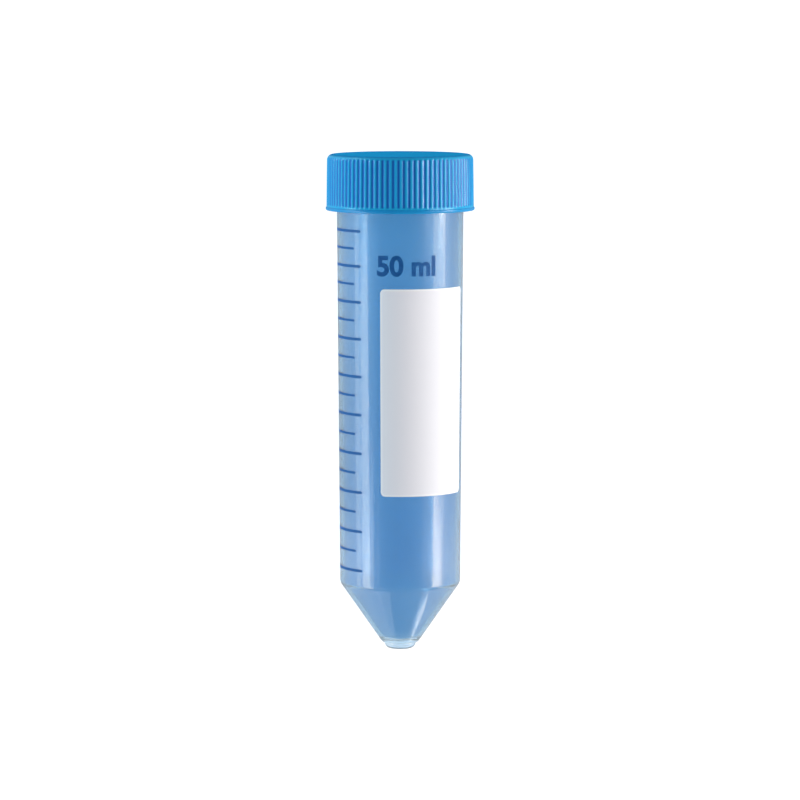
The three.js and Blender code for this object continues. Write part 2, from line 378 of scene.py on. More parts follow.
class NodeSheet:
    """The node tree of a material or a world, and short ways to fill it."""

    def __init__(self, holder: bpy.types.Material | bpy.types.World) -> None:
        """Empties the holder's node tree and gives it an output.

        Args:
            holder: A new material or world.
        """
        self.holder = holder
        self.holder.use_nodes = True
        self.tree = holder.node_tree
        self.tree.nodes.clear()
        kind = "World" if isinstance(holder, bpy.types.World) else "Material"
        self.output = self.tree.nodes.new(f"ShaderNodeOutput{kind}")

    def add(self, kind: str, settings: dict | None = None, **inputs: object) -> bpy.types.Node:
        """Adds a node.

        Args:
            kind: The node's type, without its ShaderNode prefix.
            settings: Values of the node's own properties.
            **inputs: Values or sockets for its inputs, with _ for a space in their names.

        Returns:
            The node.
        """
        node = self.tree.nodes.new(f"ShaderNode{kind}")
        for key, value in (settings or {}).items():
            setattr(node, key, value)
        for key, value in inputs.items():
            self.put(node.inputs[key.replace("_", " ")], value)
        return node

    def put(self, socket: Socket, value: object) -> None:
        """Sets an input to a value, or links it to a socket.

        Args:
            socket: The input.
            value: A number, a vector, a colour of three parts or another node's socket.
        """
        if isinstance(value, Socket):
            self.tree.links.new(value, socket)
        elif isinstance(value, tuple) and len(value) == 3 and socket.type == "RGBA":
            socket.default_value = (*value, 1.0)
        else:
            socket.default_value = value

    def math(self, operation: str, *values: object) -> Socket:
        """Takes one arithmetic step.

        Args:
            operation: The step's name.
            *values: The numbers or sockets that it works on.

        Returns:
            The result's socket.
        """
        node = self.add("Math", {"operation": operation})
        for socket, value in zip(node.inputs, values):
            self.put(socket, value)
        return node.outputs[0]

    def product(self, first: object, *others: object) -> Socket:
        """Multiplies numbers or sockets together.

        Args:
            first: The first of them.
            *others: The rest.

        Returns:
            The product's socket.
        """
        result = first
        for other in others:
            result = self.math("MULTIPLY", result, other)
        return result

    def ramp(self, value: object, ramp: Ramp) -> Socket:
        """Carries a number along a ramp: start + (end - start) * (value - low) / (high - low).

        Args:
            value: The number.
            ramp: The ramp's low and high readings, and its start and end values.

        Returns:
            The ramp's value there, held at its ends.
        """
        low, high, start, end = ramp
        sizes = {"From_Min": low, "From_Max": high, "To_Min": start, "To_Max": end}
        return self.add("MapRange", {"clamp": True}, Value=value, **sizes).outputs[0]

    def attribute(self, name: str) -> Socket:
        """The number that the mesh keeps under that name."""
        return self.add("Attribute", {"attribute_name": name}).outputs["Fac"]

    def blend(self, share: object, first: object, second: object) -> Socket:
        """Mixes two colours.

        Args:
            share: Share of the second.
            first: The first colour.
            second: The second colour.

        Returns:
            The mixed colour's socket.
        """
        node = self.add("Mix", {"data_type": "RGBA"})
        for index, value in ((0, share), (6, first), (7, second)):
            self.put(node.inputs[index], value)
        return node.outputs[2]

    def layer(self, share: object, first: bpy.types.Node, second: bpy.types.Node) -> Socket:
        """Mixes two shaders.

        Args:
            share: Share of the second.
            first: The first shader's node.
            second: The second shader's node.

        Returns:
            The mixed shader's socket.
        """
        node = self.add("MixShader")
        for socket, value in zip(node.inputs, (share, first.outputs[0], second.outputs[0])):
            self.put(socket, value)
        return node.outputs[0]

    def turned(self, axes: TubeAxes) -> Socket:
        """Turns the object's own coordinates to the tube's axes, as axes.matrix() undone.

        Args:
            axes: The tube's axes.

        Returns:
            The coordinates, whose Z is the height in metres.
        """
        spin = axes.matrix().inverted()
        place = self.add("TexCoord").outputs["Object"]
        moves = {"Location": spin.to_translation(), "Rotation": spin.to_euler()}
        return self.add("Mapping", {"vector_type": "POINT"}, Vector=place, **moves).outputs[0]

    def grain(
        self, axes: TubeAxes, scale: float, stretch: float = 1.0, detail: float = 3.0,
    ) -> Socket:
        """Noise on the object's own coordinates, turned to the tube's axes.

        Args:
            axes: The tube's axes.
            scale: Grains to a metre across the axis.
            stretch: How many times longer the grains are along the axis.
            detail: The noise's detail.

        Returns:
            The noise's value.
        """
        longer = self.add("VectorMath", {"operation": "MULTIPLY"})
        self.put(longer.inputs[0], self.turned(axes))
        self.put(longer.inputs[1], (1.0, 1.0, 1.0 / stretch))
        return self.add("TexNoise", Vector=longer.outputs[0], Scale=scale, Detail=detail).outputs["Fac"]

    def bump(self, height: object, relief: Relief) -> Socket:
        """A normal that is bumped by a height socket."""
        return self.add("Bump", Height=height, Strength=relief[0], Distance=relief[1]).outputs[0]

    def finish(self, surface: Socket) -> bpy.types.Material | bpy.types.World:
        """Links the surface to the output and gives the material or world."""
        self.put(self.output.inputs["Surface"], surface)
        return self.holder


def new_sheet(name: str) -> NodeSheet:
    """An empty material of that name."""
    return NodeSheet(bpy.data.materials.new(name))


@dataclass(frozen=True)
class ClearPlastic:
    """Clear blue moulded plastic: glassy, with a wall that tints what shows through it.

    Attributes:
        tint: Colour that one surface of the wall lets through.
        neck_tint: The same near the neck, where the colour is deeper.
        neck_share: Share of the neck's tint, by the height.
        gate_tint: The same at the tip, which is paler.
        gate_share: Share of the gate's tint, by the height.
        lamp_tint: Colour that one surface lets through to what the lamps light behind it.
        ior: Refractive index.
        gleam: Colour of the sharp gloss.
        roughness: Its roughness, by the drift of the mould's finish.
        bloom: Roughness of the soft gloss that lies over the sharp one.
        bloom_shares: Shares of the soft gloss, by the height. They are multiplied together.
        haze: Strength of the pale haze at the sides.
        haze_spread: Its roughness.
        haze_colour: Its colour.
        ripple: Relief of the ripples in the wall.
    """

    tint: Colour = (0.26, 0.49, 0.70)
    neck_tint: Colour = (0.215, 0.49, 0.71)
    neck_share: Ramp = (0.05, 0.10, 0.0, 1.0)
    gate_tint: Colour = (0.52, 0.68, 0.82)
    gate_share: Ramp = (0.0015, 0.0035, 1.0, 0.0)
    lamp_tint: Colour = (0.62, 0.78, 0.92)
    ior: float = 1.42
    gleam: Colour = (1.0, 0.8, 0.55)
    roughness: Ramp = (0.35, 0.7, 0.07, 0.15)
    bloom: float = 0.42
    bloom_shares: tuple[Ramp, ...] = (
        (0.013, 0.020, 0.35, 1.0),
        (0.022, 0.034, 1.0, 0.6),
        (0.055, 0.095, 1.0, 1.5),
    )
    haze: float = 0.2
    haze_spread: float = 0.6
    haze_colour: Colour = (1.0, 0.95, 0.85)
    ripple: Relief = (0.25, 0.00004)

    def material(self, axes: TubeAxes) -> bpy.types.Material:
        """Builds it: glass whose roughness drifts, with a shader that lets lamps through.

        Args:
            axes: The tube's axes.

        Returns:
            The material.
        """
        sheet = new_sheet("clear_blue_plastic")
        height = sheet.add("SeparateXYZ", Vector=sheet.turned(axes)).outputs[2]
        colour = sheet.blend(sheet.ramp(height, self.neck_share), self.tint, self.neck_tint)
        colour = sheet.blend(sheet.ramp(height, self.gate_share), colour, self.gate_tint)
        shares = [sheet.ramp(height, share) for share in self.bloom_shares]
        drift = sheet.grain(axes, scale=160, stretch=6)
        ripple = sheet.grain(axes, scale=420, stretch=3, detail=2)
        glass = sheet.add(
            "BsdfPrincipled",
            Base_Color=colour,
            Roughness=sheet.ramp(drift, self.roughness),
            IOR=self.ior,
            Transmission_Weight=1.0,
            Specular_Tint=self.gleam,
            Coat_Weight=sheet.product(sheet.attribute(POLISH_ATTRIBUTE), *shares),
            Coat_Roughness=self.bloom,
            Sheen_Weight=self.haze,
            Sheen_Roughness=self.haze_spread,
            Sheen_Tint=self.haze_colour,
            Normal=sheet.bump(ripple, self.ripple),
        )
        open_to_lamps = sheet.add("BsdfTransparent", Color=self.lamp_tint)
        lamp_ray = sheet.add("LightPath").outputs["Is Shadow Ray"]
        return sheet.finish(sheet.layer(lamp_ray, glass, open_to_lamps))


@dataclass(frozen=True)
class CapPlastic:
    """Opaque cyan-blue moulded plastic, semi-gloss, with painted shade in grooves, flange and top.

    Attributes:
        face: Colour of crests and plain faces.
        groove: Painted shade colour, down in the finger grooves and on the flange and the top.
        flow: Share of that colour where the plastic flowed unevenly.
        roughness: Its roughness, by the grain of its skin.
        skin: Relief of the skin.
        polish: Strength of the polish on the skirt; the top has none.
        gloss: Roughness of the polish.
        polish_skin: Relief of the skin in the polish.
        glow: Colour of the light that grazing rays gather under the surface.
        glow_strength: Its strength.
        glow_spread: Its roughness.
    """

    face: Colour = (0.010, 0.39, 0.70)
    groove: Colour = (0.005, 0.105, 0.47)
    flow: Ramp = (0.3, 0.75, 0.0, 0.12)
    roughness: Ramp = (0.3, 0.7, 0.45, 0.57)
    skin: Relief = (0.2, 0.00003)
    polish: float = 0.62
    gloss: float = 0.2
    polish_skin: Relief = (0.1, 0.00003)
    glow: Colour = (0.03, 0.62, 1.0)
    glow_strength: float = 0.3
    glow_spread: float = 0.35

    def material(self, axes: TubeAxes) -> bpy.types.Material:
        """Builds it: the attribute paints shade into the colour, and fine grain ruffles the gloss.

        Args:
            axes: The tube's axes.

        Returns:
            The material.
        """
        sheet = new_sheet("cyan_cap_plastic")
        # Painted shade: the colour deepens in the grooves, on the flange and on the top.
        colour = sheet.blend(sheet.attribute(PAINTED_SHADE_ATTRIBUTE), self.face, self.groove)
        flow = sheet.ramp(sheet.grain(axes, scale=110, stretch=2), self.flow)
        skin = sheet.grain(axes, scale=2600, detail=4)
        shader = sheet.add(
            "BsdfPrincipled",
            Base_Color=sheet.blend(flow, colour, self.groove),
            Roughness=sheet.ramp(skin, self.roughness),
            Specular_IOR_Level=0.0,
            Coat_Weight=sheet.product(sheet.attribute(POLISH_ATTRIBUTE), self.polish),
            Coat_Roughness=self.gloss,
            Sheen_Weight=self.glow_strength,
            Sheen_Roughness=self.glow_spread,
            Sheen_Tint=self.glow,
            Normal=sheet.bump(skin, self.skin),
            Coat_Normal=sheet.bump(skin, self.polish_skin),
        )
        return sheet.finish(shader.outputs[0])


@dataclass(frozen=True)
class PatchInk:
    """Matt white print for writing on, with a brighter edge all round.

    Attributes:
        face: Colour of the patch.
        edge: Colour of its edge.
        edge_width: Width of the edge, in millimetres.
        roughness: Its roughness, by its tooth.
        gloss: Level of its gloss.
        tooth: Relief of the tooth that takes a pen.
    """

    face: Colour = (0.80, 0.805, 0.86)
    edge: Colour = (0.93, 0.94, 0.95)
    edge_width: float = 0.55
    roughness: Ramp = (0.3, 0.7, 0.68, 0.85)
    gloss: float = 0.3
    tooth: Relief = (0.3, 0.00002)

    def material(self, axes: TubeAxes, width: float, height: float) -> bpy.types.Material:
        """Builds it on the patch's own UV map, in millimetres from its lower left corner.

        Args:
            axes: The tube's axes.
            width: The patch's width round the wall.
            height: The patch's height.

        Returns:
            The material.
        """
        sheet = new_sheet("white_writing_ink")
        place = sheet.add("SeparateXYZ", Vector=sheet.add("UVMap", {"uv_map": UV_NAME}).outputs[0])
        across, up = place.outputs[0], place.outputs[1]
        sides = sheet.math("MINIMUM", across, sheet.math("SUBTRACT", width, across))
        ends = sheet.math("MINIMUM", up, sheet.math("SUBTRACT", height, up))
        inside = sheet.ramp(sheet.math("MINIMUM", sides, ends), (0.0, self.edge_width, 0.0, 1.0))
        tooth = sheet.grain(axes, scale=5200, detail=5)
        shader = sheet.add(
            "BsdfPrincipled",
            Base_Color=sheet.blend(inside, self.edge, self.face),
            Roughness=sheet.ramp(tooth, self.roughness),
            Specular_IOR_Level=self.gloss,
            Normal=sheet.bump(tooth, self.tooth),
        )
        return sheet.finish(shader.outputs[0])


@dataclass(frozen=True)
class MarkInk:
    """Dark blue print, a little uneven where the ink ran thin.

    Attributes:
        full: Colour where the ink is thick.
        thin: Colour where it is thin.
        thinness: Share of the thin colour, by the ink's cover.
        roughness: Its roughness, by its cover.
        gloss: Level of its gloss.
        relief: Relief of its cover.
    """

    full: Colour = (0.006, 0.078, 0.27)
    thin: Colour = (0.015, 0.13, 0.38)
    thinness: Ramp = (0.4, 0.8, 0.0, 1.0)
    roughness: Ramp = (0.3, 0.7, 0.45, 0.6)
    gloss: float = 0.2
    relief: Relief = (0.2, 0.00001)

    def material(self, axes: TubeAxes) -> bpy.types.Material:
        """Builds it: noise thins the ink.

        Args:
            axes: The tube's axes.

        Returns:
            The material.
        """
        sheet = new_sheet("dark_blue_ink")
        cover = sheet.grain(axes, scale=1500, detail=4)
        shader = sheet.add(
            "BsdfPrincipled",
            Base_Color=sheet.blend(sheet.ramp(cover, self.thinness), self.full, self.thin),
            Roughness=sheet.ramp(cover, self.roughness),
            Specular_IOR_Level=self.gloss,
            Normal=sheet.bump(cover, self.relief),
        )
        return sheet.finish(shader.outputs[0])


# ---- The tube ----------------------------------------------------------------------------------


@dataclass(frozen=True)
class TubeMoulding:
    """The clear moulding: tip boss, cone, tapered body and threaded neck, hollow to the floor."""

    length: float = 115.0
    wall: float = 1.0
    boss_radius: float = 3.7
    boss_depth: float = 1.6
    boss_round: float = 1.4
    boss_root_round: float = 0.12
    cone_end_radius: float = 4.33
    cone_end_round: float = 0.3
    cone_half_angle: float = math.radians(34.7)
    shoulder_radius: float = 14.17
    shoulder_round: float = 2.3
    inner_shoulder_round: float = 0.5
    floor_thickness: float = 0.9
    floor_round: float = 2.5
    neck_radius: float = 14.84
    neck_length: float = 11.8
    rim_round: float = 0.3
    thread_lead: float = 3.2
    thread_turns: float = 1.5
    thread_height: float = 0.95
    thread_root: float = 1.7
    thread_crest: float = 0.7
    thread_below_rim: float = 2.2
    thread_run_out: float = math.radians(30)
    thread_step: float = 0.14
    plain_step: float = 9.0
    columns: int = 256
    finish: ClearPlastic = ClearPlastic()

    @property
    def shoulder_height(self) -> float:
        """Height at which the cone meets the body."""
        rise = (self.shoulder_radius - self.cone_end_radius) / math.tan(self.cone_half_angle)
        return self.boss_depth + rise

    @property
    def neck_base(self) -> float:
        """Height at which the taper ends."""
        return self.length - self.neck_length

    @property
    def thread_top(self) -> float:
        """Height of the thread's middle at its upper end."""
        return self.length - self.thread_below_rim

    def body_radius(self, height: Array | float) -> Array | float:
        """Outside radius of the tapered body: it grows evenly from the shoulder to the neck."""
        share = (height - self.shoulder_height) / (self.neck_base - self.shoulder_height)
        return self.shoulder_radius + (self.neck_radius - self.shoulder_radius) * share

    def cone_bore(self, height: float) -> float:
        """Inside radius of the cone, one wall inside its outer face."""
        lift = self.boss_depth + self.wall / math.sin(self.cone_half_angle)
        return self.cone_end_radius + (height - lift) * math.tan(self.cone_half_angle)

    def outline(self) -> Array:
        """Draws the half section, up the outside to the rim and down the inside to the floor.

        Returns:
            Radius and height of each point, one row each.
        """
        mouth = self.neck_radius - self.wall
        floor = self.boss_depth + self.floor_thickness
        slope = self.cone_half_angle
        inner = self.shoulder_height + self.wall / math.sin(slope) - self.wall / math.tan(slope)
        points = rounded_outline([
            Corner(0, 0),
            Corner(self.boss_radius, 0, self.boss_round),
            Corner(self.boss_radius, self.boss_depth, self.boss_root_round),
            Corner(self.cone_end_radius, self.boss_depth, self.cone_end_round),
            Corner(self.shoulder_radius, self.shoulder_height, self.shoulder_round),
            Corner(self.neck_radius, self.neck_base),
            Corner(self.neck_radius, self.length, self.rim_round),
            Corner(mouth, self.length, self.rim_round),
            Corner(mouth, self.neck_base),
            Corner(self.body_radius(inner) - self.wall, inner, self.inner_shoulder_round),
            Corner(self.cone_bore(floor), floor, self.floor_round),
            Corner(0, floor),
        ])
        middle = (points[1:] + points[:-1]) / 2
        on_neck = (middle[:, 0] > self.neck_radius - NEAR) & (middle[:, 1] > self.neck_base)
        return spaced(points, np.where(on_neck, self.thread_step, self.plain_step))

    def build(self, axes: TubeAxes) -> bpy.types.Object:
        """Turns the outline and raises the thread from the neck.

        Args:
            axes: The tube's axes.

        Returns:
            The moulding, dressed, riding on the tube and standing for its solid.
        """
        outline = self.outline()
        bearing = np.arange(self.columns) * TURN / self.columns
        radius, height = outline[:, :1], outline[:, 1:]
        thread = helix_ridge(
            bearing, height,
            first=self.thread_top - self.thread_lead * self.thread_turns,
            start=0.0,
            turns=self.thread_turns,
            lead=self.thread_lead,
            root=self.thread_root,
            crest=self.thread_crest,
            run_out=self.thread_run_out,
        )
        outside = radius > self.neck_radius - NEAR
        grown = radius + np.where(outside, thread * self.thread_height, 0.0)
        piece = turned_object("tube_moulding", axes.place(bearing, grown * FLAT, height))
        # The soft gloss lies on the outside alone, which ends at the rim.
        rim = np.argmax(height[:, 0])
        polish = np.repeat(np.arange(len(outline)) <= rim, self.columns).reshape(grown.shape)
        point_values(piece, POLISH_ATTRIBUTE, polish)
        piece.data.materials.append(self.finish.material(axes))
        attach(piece, "tube")
        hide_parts("tube")
        return piece


# ---- The cap -----------------------------------------------------------------------------------


@dataclass(frozen=True)
class ScrewCap:
    """The ribbed screw cap, with its flange, inside thread and sealing plug."""

    tube: TubeMoulding
    height: float = 13.1
    top_wall: float = 1.5
    top_round: float = 1.3
    # Painted shade on the flat top.
    top_shade: float = 0.7
    top_edge: float = 0.3
    top_inset: float = 0.16
    skirt_wall: float = 1.16
    flange_lip: float = 0.17
    flange_height: float = 0.85
    flange_round: float = 0.35
    # Painted shade on the flange.
    flange_shade: float = 0.4
    plug_depth: float = 2.4
    plug_wall: float = 0.8
    ribs: int = 88
    rib_columns: int = 8
    rib_phase: float = 0.17
    groove_depth: float = 0.2
    groove_ease: float = 0.6
    ribs_above_base: float = 1.0
    ribs_below_top: float = 0.4
    seat_gap: float = 0.3
    plug_gap: float = 0.3
    thread_gap: float = 0.35
    edge_round: float = 0.15
    thread_start: float = math.pi
    thread_turns: float = 2.0
    thread_height: float = 0.75
    thread_root: float = 1.2
    thread_crest: float = 0.5
    thread_step: float = 0.3
    ease_step: float = 0.12
    plain_step: float = 6.0
    arc_step: float = math.radians(17)
    finish: CapPlastic = CapPlastic()

    @property
    def ceiling(self) -> float:
        """Height of the inside's top."""
        return self.tube.length + self.seat_gap

    @property
    def top(self) -> float:
        """Height of the flat top."""
        return self.ceiling + self.top_wall

    @property
    def base(self) -> float:
        """Height of the open end."""
        return self.top - self.height

    @property
    def bore(self) -> float:
        """Inside radius of the skirt."""
        return self.tube.neck_radius + self.tube.thread_height + self.thread_gap

    def skirt_radius(self, height: Array | float) -> Array | float:
        """Outside radius of the skirt, which narrows a little towards the top."""
        return self.bore + self.skirt_wall - self.top_inset * (height - self.base) / self.height

    def outline(self) -> Array:
        """Draws the half section, from the middle of the ceiling down the inside and up the outside.

        Returns:
            Radius and height of each point, one row each.
        """
        plug = self.tube.neck_radius - self.tube.wall - self.plug_gap
        plug_end = self.ceiling - self.plug_depth
        flange = self.skirt_radius(self.base) + self.flange_lip
        flange_top = self.base + self.flange_height
        ribs_low = self.base + self.ribs_above_base
        ribs_full = ribs_low + self.groove_ease
        fine = self.edge_round
        points = rounded_outline([
            Corner(0, self.ceiling),
            Corner(plug - self.plug_wall, self.ceiling, fine),
            Corner(plug - self.plug_wall, plug_end, fine * 2),
            Corner(plug, plug_end, fine * 2),
            Corner(plug, self.ceiling, fine),
            Corner(self.bore, self.ceiling, fine * 2),
            Corner(self.bore, self.base, fine),
            Corner(flange, self.base, self.flange_round),
            Corner(flange, flange_top - self.flange_lip, fine / 2),
            Corner(self.skirt_radius(flange_top), flange_top, fine / 2),
            Corner(self.skirt_radius(ribs_low), ribs_low),
            Corner(self.skirt_radius(ribs_full), ribs_full),
            Corner(self.skirt_radius(self.top), self.top, self.top_round),
            Corner(0, self.top),
        ], arc_step=self.arc_step)
        middle = (points[1:] + points[:-1]) / 2
        in_bore = (np.abs(middle[:, 0] - self.bore) < NEAR) & (middle[:, 1] < self.ceiling)
        return spaced(points, np.where(in_bore, self.thread_step, self.plain_step))

    def grooves(self, bearing: Array, height: Array, radius: Array) -> Array:
        """How deep each point is in a finger groove, from 0 to 1.

        Round the cap the depth is half of 1 - cos of the rib angle, and it eases in above the
        flange and out below the top.

        Args:
            bearing: Bearings of the columns.
            height: Heights of the rows.
            radius: Radii of the rows.

        Returns:
            A share for each row and column.
        """
        wave = 0.5 - 0.5 * np.cos(bearing * self.ribs - TURN * self.rib_phase)
        low = eased((height - self.base - self.ribs_above_base) / self.groove_ease)
        high = eased((self.top - self.ribs_below_top - height) / self.groove_ease)
        outside = radius > self.bore + self.skirt_wall / 2
        return np.where(outside, low * high * wave, 0.0)

    def ribbed_outline(self) -> Array:
        """Adds points to the outline where the grooves ease in and out.

        Returns:
            Radius and height of each point, one row each.
        """
        points = self.outline()
        middle = (points[1:] + points[:-1]) / 2
        outside = middle[:, 0] > self.bore + self.skirt_wall / 2
        low = self.base + self.ribs_above_base
        high = self.top - self.ribs_below_top
        easing = np.abs(middle[:, 1] - low - self.groove_ease / 2) < self.groove_ease
        easing |= np.abs(middle[:, 1] - high + self.groove_ease / 2) < self.groove_ease
        return spaced(points, np.where(outside & easing, self.ease_step, self.plain_step))

    def shades(self, height: Array) -> tuple[Array, Array]:
        """How much of the plain skin is shaded like a groove, and how much of it is the flat top.

        The flange is shaded, and the shade eases off between its top and the foot of the ribs. On
        the top the shade eases in over the inner part of its round.

        Args:
            height: Heights of the rows.

        Returns:
            The shade's share and the top's share for each row.
        """
        above_flange = height - self.base - self.flange_height
        skirt = eased(above_flange / (self.ribs_above_base - self.flange_height))
        plain = self.top - self.top_round * self.top_edge
        on_top = eased((height - plain) / (self.top - plain))
        return self.flange_shade * (1 - skirt) + self.top_shade * on_top, on_top

    def build(self, axes: TubeAxes) -> bpy.types.Object:
        """Turns the outline, cuts the grooves outside and raises the thread inside.

        Args:
            axes: The tube's axes.

        Returns:
            The cap, dressed, riding on its body and standing for its solid.
        """
        outline = self.ribbed_outline()
        columns = self.ribs * self.rib_columns
        bearing = np.arange(columns) * TURN / columns
        radius, height = outline[:, :1], outline[:, 1:]
        depth = self.grooves(bearing, height, radius)
        thread = helix_ridge(
            bearing, height,
            first=self.tube.thread_top - self.tube.thread_lead * (self.tube.thread_turns + 1),
            start=self.thread_start,
            turns=self.thread_turns,
            lead=self.tube.thread_lead,
            root=self.thread_root,
            crest=self.thread_crest,
            run_out=self.tube.thread_run_out,
        )
        raised = np.where(np.abs(radius - self.bore) < NEAR, thread * self.thread_height, 0.0)
        shaped = radius - depth * self.groove_depth - raised
        piece = turned_object("screw_cap", axes.place(bearing, shaped * FLAT, height))
        shade, on_top = self.shades(height)
        # Painted shade: the grooves' depth, or the flange's and top's shade where that is more.
        point_values(piece, PAINTED_SHADE_ATTRIBUTE, np.maximum(depth, shade))
        point_values(piece, POLISH_ATTRIBUTE, np.broadcast_to(1 - on_top, depth.shape))
        piece.data.materials.append(self.finish.material(axes))
        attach(piece, "cap")
        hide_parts("cap")
        return piece


# ---- The print ---------------------------------------------------------------------------------


class MarkKind(Enum):
    """The two kinds of volume mark: bearing of the front end and span in degrees, and width."""

    LONG = (-38.4, 58.6, 0.64)
    SHORT = (-46.7, 50.3, 0.54)

    def __init__(self, start: float, span: float, width: float) -> None:
        """Names a kind's sizes.

        Args:
            start: Bearing of the front end, in degrees.
            span: Angle that the mark goes round the wall, in degrees.
            width: Width of the line.
        """
        self.start = math.radians(start)
        self.span = math.radians(span)
        self.width = width


@dataclass(frozen=True)
class Print:
    """The print on the body's wall: the writing patch, the volume marks and the capacity.

    The words' depth, weight, merge and cut sizes are in the font's own unit, the size of its type.
    """

    tube: TubeMoulding
    cap_base: float
    lift: float = 0.005
    thickness: float = 0.02
    patch_base: float = 37.75
    patch_height: float = 48.35
    patch_corner: float = 1.0
    patch_from: float = math.radians(-18.3)
    patch_to: float = math.radians(73.4)
    patch_columns: int = 60
    patch_end_columns: int = 10
    patch_rows: int = 12
    marks: int = 19
    mark_columns: int = 42
    mark_rows: int = 2
    mark_taper: float = 0.6
    first_above_shoulder: float = 4.0
    last_below_cap: float = 4.35
    crowding: float = 0.047
    first_ml: float = 5.0
    step_ml: float = 2.5
    words: str = "50 ml"
    word_height: float = 4.9
    word_base: float = 89.05
    word_from: float = math.radians(-21.5)
    word_depth: float = 0.5
    word_weight: float = 0.035
    word_merge: float = 1e-5
    word_first_cut: float = 0.05
    word_cut_step: float = 0.08
    white: PatchInk = PatchInk()
    blue: MarkInk = MarkInk()

    def sheet(
        self, axes: TubeAxes, name: str, bearing: Array, low: Array, high: Array, rows: int,
    ) -> bpy.types.Object:
        """Lays a thin slab of ink on the wall.

        Row v of the grid, from 0 to 1, is at the height low + v * (high - low), at the wall's
        radius there plus the lift, and the outer side stands one thickness further out.

        Args:
            axes: The tube's axes.
            name: The piece's name.
            bearing: Bearings of the columns.
            low: Height of the lower edge at each column.
            high: Height of the upper edge at each column.
            rows: How many rows.

        Returns:
            The slab, with a UV map in millimetres from the lower left corner.
        """
        share = np.linspace(0, 1, rows)[:, None]
        height = low + share * (high - low)
        foot = self.tube.body_radius(height) * FLAT + self.lift
        piece = slab_object(
            name,
            axes.place(bearing, foot + self.thickness, height),
            axes.place(bearing, foot, height),
        )
        across = (bearing - bearing[0]) * self.tube.body_radius(height.mean())
        place = np.stack([np.broadcast_to(across, height.shape), height - low.min()], axis=-1)
        place = np.concatenate([place.reshape(-1, 2)] * 2)
        loops = np.empty(len(piece.data.loops), np.int32)
        piece.data.loops.foreach_get("vertex_index", loops)
        layer = piece.data.uv_layers.new(name=UV_NAME)
        layer.data.foreach_set("uv", place[loops].astype(np.float32).ravel())
        return piece

    def dress(self, piece: bpy.types.Object, material: bpy.types.Material) -> None:
        """Gives a piece its ink, and has it ride on the tube.

        Args:
            piece: The piece.
            material: Its ink.
        """
        piece.data.materials.append(material)
        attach(piece, "tube")

    def build_patch(self, axes: TubeAxes) -> bpy.types.Object:
        """Prints the white patch, whose edges draw in along a quarter circle near its ends.

        Args:
            axes: The tube's axes.

        Returns:
            The patch, dressed, riding on the tube and standing for its solid.
        """
        wall = self.tube.body_radius(self.patch_base + self.patch_height / 2)
        span = self.patch_corner / wall
        ease = (1 - np.cos(np.linspace(0, math.pi / 2, self.patch_end_columns))) * span
        middle = np.linspace(self.patch_from + span, self.patch_to - span, self.patch_columns)[1:-1]
        bearing = np.concatenate([self.patch_from + ease, middle, (self.patch_to - ease)[::-1]])
        to_end = np.minimum(bearing - self.patch_from, self.patch_to - bearing) / span
        pull = 1 - np.clip(to_end, 0, 1)
        inset = self.patch_corner * (1 - np.sqrt(1 - pull * pull))
        low, high = self.patch_base + inset, self.patch_base + self.patch_height - inset
        piece = self.sheet(axes, "writing_patch_ink", bearing, low, high, self.patch_rows)
        width = (self.patch_to - self.patch_from) * wall
        self.dress(piece, self.white.material(axes, width, self.patch_height))
        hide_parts("writing_patch")
        return piece

    def mark_heights(self) -> Array:
        """Places the marks, whose steps shorten on the way up as the bore widens.

        With u from 0 at the first mark to 1 at the last, a mark stands at the share
        u + crowding * u * (1 - u * u) of the way between them.

        Returns:
            The height of each mark's middle.
        """
        low = self.tube.shoulder_height + self.first_above_shoulder
        high = self.cap_base - self.last_below_cap
        share = np.linspace(0, 1, self.marks)
        return low + (high - low) * (share + self.crowding * share * (1 - share * share))

    def build_marks(self, axes: TubeAxes, ink: bpy.types.Material) -> list[bpy.types.Object]:
        """Prints the volume marks, long and short in turn from the lowest.

        Args:
            axes: The tube's axes.
            ink: The marks' ink.

        Returns:
            The marks, dressed, riding on the tube and standing for their solids.
        """
        pieces = []
        for i, height in enumerate(self.mark_heights()):
            volume = f"{self.first_ml + i * self.step_ml:g}".replace(".", "_")
            kind = MarkKind.LONG if i % 2 == 0 else MarkKind.SHORT
            bearing = np.linspace(kind.start - kind.span, kind.start, self.mark_columns)
            half = np.full(bearing.shape, kind.width / 2)
            half[[0, -1]] *= self.mark_taper
            name = f"ink_mark_{volume}_ml"
            piece = self.sheet(axes, name, bearing, height - half, height + half, self.mark_rows)
            self.dress(piece, ink)
            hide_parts(f"mark_{volume}_ml")
            pieces.append(piece)
        return pieces

    def word_mesh(self) -> bpy.types.Mesh:
        """Makes the words flat, in the font's own unit, cut into upright strips that can bend.

        Returns:
            The closed mesh, of triangles, half in front of its plane and half behind it.
        """
        curve = bpy.data.curves.new("capacity_words", "FONT")
        curve.body = self.words
        curve.extrude = self.word_depth
        curve.offset = self.word_weight
        holder = bpy.data.objects.new("capacity_words", curve)
        bpy.context.scene.collection.objects.link(holder)
        bpy.context.view_layer.update()
        mesh = bpy.data.meshes.new_from_object(holder)
        bpy.data.objects.remove(holder)
        bpy.data.curves.remove(curve)
        widest = float(vertex_places(mesh)[:, 0].max())
        build = bmesh.new()
        build.from_mesh(mesh)
        bmesh.ops.remove_doubles(build, verts=build.verts, dist=self.word_merge)
        for cut in np.arange(self.word_first_cut, widest, self.word_cut_step):
            geometry = [*build.verts, *build.edges, *build.faces]
            bmesh.ops.bisect_plane(build, geom=geometry, plane_co=(cut, 0, 0), plane_no=(1, 0, 0))
        bmesh.ops.triangulate(build, faces=build.faces)
        build.to_mesh(mesh)
        build.free()
        return mesh

